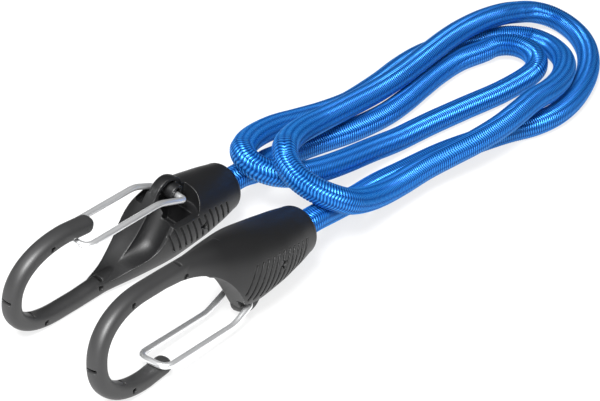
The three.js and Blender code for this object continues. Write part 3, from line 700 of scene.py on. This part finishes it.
def bar_line(steps_per_mm):
    """Middle line of the bar, with half its depth: along the spine, round the nose, and out to the tip."""
    line = []
    spine_steps = round((SPINE_X - NOSE_X) * steps_per_mm)
    for x in np.linspace(SPINE_X, NOSE_X, spine_steps, endpoint=False):
        half = spine_half_depth(x)
        line.append((x, half, half))
    for turn in np.radians(np.linspace(-90, 90, NOSE_STEPS + 1)):
        line.append((*nose_point(turn), BAR_DEPTH / 2))
    for x in np.linspace(NOSE_X, TIP_X - BAR_DEPTH / 2, TIP_STEPS + 1)[1:]:
        line.append((x, tip_line_y(x), BAR_DEPTH / 2))
    return np.array(line)


def bar_form():
    """The bar from the spine to its domed tip."""
    line = bar_line(BAR_STEPS_PER_MM)
    points = np.column_stack([line[:, :2], np.zeros(len(line))])
    ahead = np.gradient(points, axis=0)
    ahead /= np.linalg.norm(ahead, axis=1)[:, None]
    outward = np.cross(Z_AXIS, ahead)

    def ring(centre, out, half_depth, half_width):
        return section(centre, out, Z_AXIS, half_depth, half_width, BAR_SQUARENESS, BAR_SIDES)

    rings = [ring(points[i], outward[i], line[i, 2], BAR_WIDTH / 2) for i in range(len(line))]
    for lift in TIP_DOME:
        shrink = math.sqrt(1 - lift * lift)
        centre = points[-1] + ahead[-1] * lift * BAR_DEPTH / 2
        rings.append(ring(centre, outward[-1], shrink * BAR_DEPTH / 2, shrink * BAR_WIDTH / 2))
    return loft("bar", rings)


def grip_form(inset):
    """Smooth skin through the grip's sections to the cord's mouth, drawn in by an even amount."""
    table = np.array(GRIP_SECTIONS, float)
    xs = np.linspace(table[0, 0], table[-1, 0], GRIP_RINGS)
    columns = [smooth_values(xs, table[:, 0], table[:, k]) for k in range(1, table.shape[1])]
    along = (0.0, 1.0, 0.0)
    rings = []
    for x, back, gate, half, squareness in zip(xs, *columns):
        centre = (x, (back + gate) / 2, 0)
        half_along = (gate - back) / 2 - inset
        rings.append(section(centre, along, Z_AXIS, half_along, half - inset, squareness, GRIP_SIDES))
    for share in MOUTH_STOPS:
        x = HOOK_LENGTH - MOUTH_ROUNDING * (1 - share)
        turn_in = MOUTH_ROUNDING * (1 - math.sqrt(1 - share * share)) * MOUTH_TURN_IN
        radius = MOUTH_RADIUS - turn_in - inset
        rings.append(section((x, SOCKET_Y, 0), along, Z_AXIS, radius, radius, ROUND, GRIP_SIDES))
    return loft("grip", rings)


def smooth_values(wanted, xs, ys):
    """Smooth curve through the points, flat where they turn back, so that it never overshoots."""
    steps = np.diff(xs)
    slopes = np.diff(ys) / steps
    tangents = np.zeros(len(xs))
    tangents[0], tangents[-1] = slopes[0], slopes[-1]
    for i in range(1, len(xs) - 1):
        if slopes[i - 1] * slopes[i] > 0:
            tangents[i] = 2 * slopes[i - 1] * slopes[i] / (slopes[i - 1] + slopes[i])
    index = np.clip(np.searchsorted(xs, wanted, side="right") - 1, 0, len(xs) - 2)
    run = steps[index]
    share = (wanted - xs[index]) / run
    rest = 1 - share
    return (ys[index] * (1 + 2 * share) * rest ** 2
            + run * tangents[index] * share * rest ** 2
            + ys[index + 1] * share ** 2 * (3 - 2 * share)
            + run * tangents[index + 1] * share ** 2 * (share - 1))


def throat_point(share):
    """Point of the throat's curve, from the bar up to the heel."""
    start, pull, draw, end = (np.array(p, float) for p in THROAT)
    rest = 1 - share
    return (start * rest ** 3 + 3 * pull * share * rest ** 2
            + 3 * draw * share ** 2 * rest + end * share ** 3)


def throat_direction(share):
    start, pull, draw, end = (np.array(p, float) for p in THROAT)
    rest = 1 - share
    way = (pull - start) * rest ** 2 + 2 * (draw - pull) * share * rest + (end - draw) * share ** 2
    return way / np.linalg.norm(way)


def throat_keep(shift=0.0):
    """Everything on the spine's side of the throat, moved away from it by the shift."""
    first_x = GRIP_START_X - PAST
    curve = [tuple(throat_point(share)) for share in np.linspace(0, 1, THROAT_POINTS)]
    corner_x, corner_y = THROAT[-1]
    outline = [(first_x, -PAST), (HOOK_LENGTH + PAST, -PAST), (HOOK_LENGTH + PAST, corner_y + PAST),
               (corner_x + PAST, corner_y + PAST), *reversed(curve), (first_x, THROAT[0][1])]
    return prism("throat", [(x + shift, y - shift) for x, y in outline], -FAR, FAR)


def scoop_cutters():
    """Hollow along the throat, from a sharp edge in the mid plane out through one side."""
    first, last = SCOOP_RANGE
    half = SCOOP_HALF_WIDTH
    rings = []
    edge = []
    for share in np.linspace(0, 1, SCOOP_STEPS + 1):
        place = first + (last - first) * share
        x, y = throat_point(place)
        way_x, way_y = throat_direction(place)
        run = min(1, share / SCOOP_RUN_IN)
        depth = max(SCOOP_LEAST_DEPTH, SCOOP_DEPTH * run * run * (3 - 2 * run))
        inward = (-way_y, way_x, 0)
        rings.append(section((x, y, half), inward, Z_AXIS, depth, half, ROUND, WIDE_ROUND_SIDES))
        edge.append((x + SCOOP_RIM * depth * way_y, y - SCOOP_RIM * depth * way_x))
    side_z = half * (1 + math.sqrt(1 - SCOOP_RIM ** 2))
    side = prism("scoop_side", [*edge, (GRIP_START_X, FAR)], side_z, FAR)
    return [loft("scoop", rings), side]


def arc(centre, radius, first, last, steps):
    turns = np.radians(np.linspace(first, last, steps + 1))
    return [(centre[0] + radius * math.cos(t), centre[1] + radius * math.sin(t)) for t in turns]


def arch_outline(radius):
    """Half circle over the gate's ends, with straight legs down to the open side's floor."""
    x, _ = ARCH_CENTRE
    legs = [(x - radius, OPEN_FLOOR_Y), (x + radius, OPEN_FLOOR_Y)]
    return [*arc(ARCH_CENTRE, radius, 0, 180, ARCH_STEPS), *legs]


def arch_form():
    """Arch over the gate's ends, domed from its back to its open front in the mid plane."""
    rings = []
    for share in np.linspace(0, 1, ARCH_RINGS):
        radius = ARCH_BACK_RADIUS + (ARCH_RADIUS - ARCH_BACK_RADIUS) * math.sqrt(1 - (1 - share) ** 2)
        rings.append([(*point, -HEEL_WIDTH / 2 * (1 - share)) for point in arch_outline(radius)])
    return loft("arch", rings)


def boss_form():
    """Boss for the gate's end on the open side."""
    pin = pin_place(1)
    middle = (pin + opened(pin)) / 2
    return rod("boss", (*middle, -HEEL_WIDTH / 2), (*middle, BOSS_END_Z), BOSS_RADIUS)


def heel_cutters():
    """Open side of the heel, where one leg swings, the hollow of the arch, and the well in the floor."""
    floor_y = OPEN_FLOOR_Y
    round_x = OPEN_ROUND_X
    round_z = OPEN_ROUND_Z
    lap = OPEN_ROUND_LAP
    floor_z = HEEL_FLOOR - HEEL_WIDTH / 2
    well_end_x = HOOK_LENGTH - SOCKET_DEPTH - WELL_WALL
    front = box("open_front", (GRIP_START_X, floor_y, WEB_RISE), (round_x, TOP_Y, FAR))
    end = box("open_end", (WEB_END_X, floor_y, 0), (OPEN_END_X, TOP_Y, round_z))
    bend = rod("open_round", (round_x, floor_y, round_z), (round_x, TOP_Y, round_z),
               OPEN_ROUND_RADIUS, WIDE_ROUND_SIDES)
    quarter = box("quarter", (round_x - lap, 0, round_z - lap), (HOOK_LENGTH, TOP_Y + PAST, FAR))
    boolean(bend, quarter, "INTERSECT")
    hollow = prism("arch_hollow", arch_outline(ARCH_RADIUS - ARCH_WALL), floor_z, FAR)
    well = box("well", (WEB_END_X, WELL_FLOOR_Y, floor_z), (well_end_x, floor_y + PAST, WELL_SIDE_Z))
    return [front, end, bend, hollow, well]


def pin_place(side):
    """Where a gate end turns in the heel: side 1 is the open side, and -1 the other."""
    return np.array([PIVOT[0] + side * PIN_OFFSET[0], PIVOT[1] + side * PIN_OFFSET[1]])


def opened(point):
    """Where a point of the gate goes when the gate is open."""
    turn = math.radians(GATE_OPEN_DEGREES)
    cos, sin = math.cos(turn), math.sin(turn)
    x, y = point - np.array(PIVOT)
    return np.array([x * cos - y * sin, x * sin + y * cos]) + PIVOT


def pin_hole(side):
    """Hole for a gate end, long enough for the turn that the wire's twist takes up."""
    rest = pin_place(side)
    spun = opened(rest)
    radius = WIRE_DIAMETER / 2 + GAP
    way = math.degrees(math.atan2(spun[1] - rest[1], spun[0] - rest[0]))
    outline = [*arc(rest, radius, way + 90, way + 270, PIN_HOLE_STEPS),
               *arc(spun, radius, way - 90, way + 90, PIN_HOLE_STEPS)]
    if side > 0:
        return prism("pin_hole", outline, LEG_Z - BOSS_PIN_LENGTH - GAP, LEG_Z + PAST)
    return prism("pin_hole", outline, -LEG_Z - PAST, HEEL_FLOOR + GAP - HEEL_WIDTH / 2)


def rib_slabs():
    """Slanted slabs, one for each groove on each side of the grip."""
    slant = math.tan(math.radians(RIB_SLANT_DEGREES))
    half = RIB_GROOVE / 2
    for x in np.arange(RIB_FIRST_X, RIB_LAST_X + RIB_PITCH / 2, RIB_PITCH):
        foot = RIB_FOOT_Y + RIB_FOOT_RISE * max(0, x - RIB_RISE_X)
        beside_floor = x - (OPEN_FLOOR_Y - foot) * slant < OPEN_END_X
        if beside_floor:
            open_top = OPEN_FLOOR_Y - RIB_RIM
        else:
            open_top = RIB_OPEN_END_Y - RIB_OPEN_FALL * (x - OPEN_END_X)
        shut_top = RIB_SHUT_END_Y - RIB_SHUT_FALL * (x - RIB_FIRST_X)
        for top, low, high in ((open_top, 0, FAR), (shut_top, -FAR, -SLOT_OUTER_Z)):
            head_x = x - (top - foot) * slant
            outline = [(x - half, foot), (x + half, foot), (head_x + half, top), (head_x - half, top)]
            yield prism("slab", outline, low, high)


def rib_cutter():
    """Slanted grooves over both sides of the grip, of even depth in its skin."""
    skin = grip_form(-PAST)
    boolean(skin, grip_form(RIB_DEPTH), "DIFFERENCE")
    boolean(skin, throat_keep(RIB_RIM), "INTERSECT")
    slabs = None
    for slab in rib_slabs():
        if slabs is None:
            slabs = slab
        else:
            boolean(slabs, slab, "UNION")
    boolean(skin, slabs, "INTERSECT")
    return skin


def mark_slot(at, outward, half_depth):
    """Slot across a face of the bar, from the steel core out."""
    outward = np.asarray(outward, float)
    side = np.array([-outward[1], outward[0]]) * MARK_SLOT_WIDTH / 2
    near = np.asarray(at) + outward * STEEL_DIAMETER / 2
    far = np.asarray(at) + outward * (half_depth + PAST)
    outline = [near - side, far - side, far + side, near + side]
    return prism("mark_slot", [tuple(p) for p in outline], -MARK_SLOT_LENGTH / 2, MARK_SLOT_LENGTH / 2)


def mark_cutters():
    """Square holes at the bar's sides and slots across its faces, down to the steel core."""
    half = MARK_HOLE / 2
    share = (NOSE_X - NOSE_HOLE_X) / NOSE_REACH
    rise = EYE_HEIGHT / 2 * (1 - share ** NOSE_FULLNESS) ** (1 / NOSE_FULLNESS)
    middle = (BAR_DEPTH + EYE_HEIGHT) / 2
    places = [(SPINE_HOLE_X, spine_half_depth(SPINE_HOLE_X) + SPINE_HOLE_RISE),
              (NOSE_HOLE_X, middle - rise), (NOSE_HOLE_X, middle + rise)]
    cutters = []
    for x, y in places:
        for side in (1, -1):
            low, high = sorted((side * STEEL_DIAMETER / 2, side * (BAR_WIDTH / 2 + PAST)))
            cutters.append(box("mark_hole", (x - half, y - half, low), (x + half, y + half, high)))
    for x, face in ((SPINE_INNER_SLOT_X, 1), (SPINE_OUTER_SLOT_X, -1)):
        cutters.append(mark_slot((x, spine_half_depth(x)), (0, face), spine_half_depth(x)))
    for degrees, face in NOSE_SLOTS:
        turn = math.radians(degrees)
        ahead = nose_point(turn + NOSE_NUDGE) - nose_point(turn - NOSE_NUDGE)
        ahead /= np.linalg.norm(ahead)
        cutters.append(mark_slot(nose_point(turn), (-ahead[1] * face, ahead[0] * face), BAR_DEPTH / 2))
    return cutters


def steel_room():
    """Room for the steel core along the bar, with clearance all round."""
    line = bar_line(STEEL_STEPS_PER_MM)
    points = np.column_stack([line[:, :2], np.zeros(len(line))])
    points = np.vstack([(STEEL_END_X + GAP, points[0, 1], 0), points[:-2]])
    return new_object("steel_room", *round_tube(points, STEEL_DIAMETER / 2 + GAP, STEEL_SIDES), scale=1)


def hook_form():
    """One hook in its own axes and in millimetres, with the soft edges of a moulding."""
    form = grip_form(0)
    boolean(form, throat_keep(), "INTERSECT")
    for cutter in scoop_cutters():
        boolean(form, cutter, "DIFFERENCE")
    boolean(form, arch_form(), "UNION")
    for cutter in heel_cutters():
        boolean(form, cutter, "DIFFERENCE")
    boolean(form, boss_form(), "UNION")
    boolean(form, bar_form(), "UNION")
    end_x, end_y = gate_end()
    cutters = [
        box("slot", (GRIP_START_X, SLOT_FLOOR_Y, -SLOT_OUTER_Z), (SLOT_BACK_X, TOP_Y, -HEEL_WIDTH / 2)),
        rib_cutter(),
        pin_hole(1),
        pin_hole(-1),
        rod("wire_seat", (end_x, end_y, -BAR_WIDTH), (end_x, end_y, BAR_WIDTH), WIRE_DIAMETER / 2 + GAP),
        rod("socket", (HOOK_LENGTH - SOCKET_DEPTH, SOCKET_Y, 0), (HOOK_LENGTH + PAST, SOCKET_Y, 0),
            CORD_DIAMETER / 2 + GAP, SOCKET_SIDES),
        rod("cross_hole", (CROSS_PIN_X, SOCKET_Y, -FAR), (CROSS_PIN_X, SOCKET_Y, FAR),
            CROSS_PIN_DIAMETER / 2 + GAP),
        steel_room(),
        *mark_cutters(),
    ]
    for cutter in cutters:
        boolean(form, cutter, "DIFFERENCE")
    remesh = form.modifiers.new("remesh", "REMESH")
    remesh.mode = "VOXEL"
    remesh.voxel_size = VOXEL
    soften = form.modifiers.new("soften", "SMOOTH")
    soften.factor = SMOOTH_FACTOR
    soften.iterations = SMOOTH_STEPS
    apply_modifiers(form)
    return form


def mark_finish_and_sheen(form):
    """How far each point of a hook lies out on its bar, which is painted lighter: partly a lighter matte finish,
    partly a painted sheen.
    """
    along = np.array([vertex.co.x for vertex in form.data.vertices], np.float32)
    attribute = form.data.attributes.new("finish_and_sheen", "FLOAT", "POINT")
    attribute.data.foreach_set("value", np.clip((SHEEN_END_X - along) / SHEEN_RUN, 0, 1))


def round_corners(corners, steps):
    """Row of points with each inner corner replaced by a curve that starts a set distance from it."""
    points = [corners[0][0]]
    for i in range(1, len(corners) - 1):
        at, reach = corners[i]
        before = corners[i - 1][0] - at
        after = corners[i + 1][0] - at
        start = at + before / np.linalg.norm(before) * reach
        end = at + after / np.linalg.norm(after) * reach
        for share in np.linspace(0, 1, steps + 1):
            points.append(start * (1 - share) ** 2 + 2 * at * share * (1 - share) + end * share ** 2)
    points.append(corners[-1][0])
    return np.array(points)


def gate_form(name):
    """One bent wire: an end in the heel, a leg to the tip, across, and back to its other end."""
    end_x, end_y = gate_end()

    def leg(side, pin_length):
        pin = pin_place(side)
        stops = [(*pin, side * (LEG_Z - pin_length)), (*pin, side * LEG_Z),
                 (LEG_BEND_X, end_y + LEG_RISE, side * LEG_Z), (end_x, end_y, side * LEG_Z)]
        return list(zip([np.array(stop) for stop in stops], LEG_BEND_REACH))

    corners = leg(-1, FLOOR_PIN_LENGTH) + leg(1, BOSS_PIN_LENGTH)[::-1]
    points = round_corners(corners, LEG_BEND_STEPS)
    return new_object(name, *round_tube(points, WIRE_DIAMETER / 2, WIRE_SIDES), scale=1)


def hook_places(frame):
    """Each hook's axes and nose, from its mouth's direction and its gate's hinge, in millimetres."""
    mounts = {mount["name"]: mount for mount in frame["record"]["mounts"]}
    joints = {joint["name"]: joint for joint in frame["joints"]}
    places = []
    for number in (1, 2):
        hinge = joints[f"gate_{number}_hinge"]
        x_axis = Vector(mounts[f"mouth_rim_{number}"]["axis"]).normalized()
        z_axis = Vector(hinge["axis"]).normalized()
        y_axis = z_axis.cross(x_axis).normalized()
        turn = Matrix((x_axis, y_axis, z_axis)).transposed()
        origin = Vector(hinge["pos_m"]) / MM - turn @ Vector((*PIVOT, 0))
        places.append(Matrix.Translation(origin) @ turn.to_4x4())
    return places


def dress(piece, place, finish):
    """Sets a form made in millimetres in a hook's axes down in its place."""
    piece.data.transform(Matrix.Scale(MM, 4) @ place)
    piece.data.materials.clear()
    piece.data.materials.append(finish)
    smooth_shade(piece)


def make_hooks(frame, hooks, materials):
    first = hook_form()
    mark_finish_and_sheen(first)
    second = bpy.data.objects.new("hook", first.data.copy())
    bpy.context.scene.collection.objects.link(second)
    for number, body, place in zip((1, 2), (first, second), hooks):
        body.name = f"moulded_hook_{number}"
        dress(body, place, materials["plastic"])
        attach(body, "cord_and_hooks")
        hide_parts(f"hook_body_{number}")
        gate = gate_form(f"gate_wire_{number}")
        dress(gate, place, materials["zinc"])
        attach(gate, f"gate_{number}")
        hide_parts(f"wire_gate_{number}")
        for name in (f"steel_core_{number}", f"cord_pin_{number}"):
            steel = frame["nodes"][name].data.materials
            steel.clear()
            steel.append(materials["steel"])


bpy.ops.wm.read_factory_settings(use_empty=True)
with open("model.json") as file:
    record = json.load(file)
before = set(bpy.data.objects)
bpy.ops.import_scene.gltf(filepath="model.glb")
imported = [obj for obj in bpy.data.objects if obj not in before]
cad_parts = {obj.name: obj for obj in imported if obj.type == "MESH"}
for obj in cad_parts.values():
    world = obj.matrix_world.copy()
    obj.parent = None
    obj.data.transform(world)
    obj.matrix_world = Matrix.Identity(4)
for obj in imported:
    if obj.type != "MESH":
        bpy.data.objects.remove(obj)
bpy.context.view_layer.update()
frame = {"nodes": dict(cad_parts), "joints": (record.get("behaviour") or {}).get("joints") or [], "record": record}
make_camera()
make_studio()
materials = {
    "plastic": plastic_material(),
    "zinc": zinc_material(),
    "steel": steel_material(),
    "braid": braid_material(),
    "rubber": rubber_material(),
}
hooks = hook_places(frame)
make_cord(hooks, materials)
make_hooks(frame, hooks, materials)
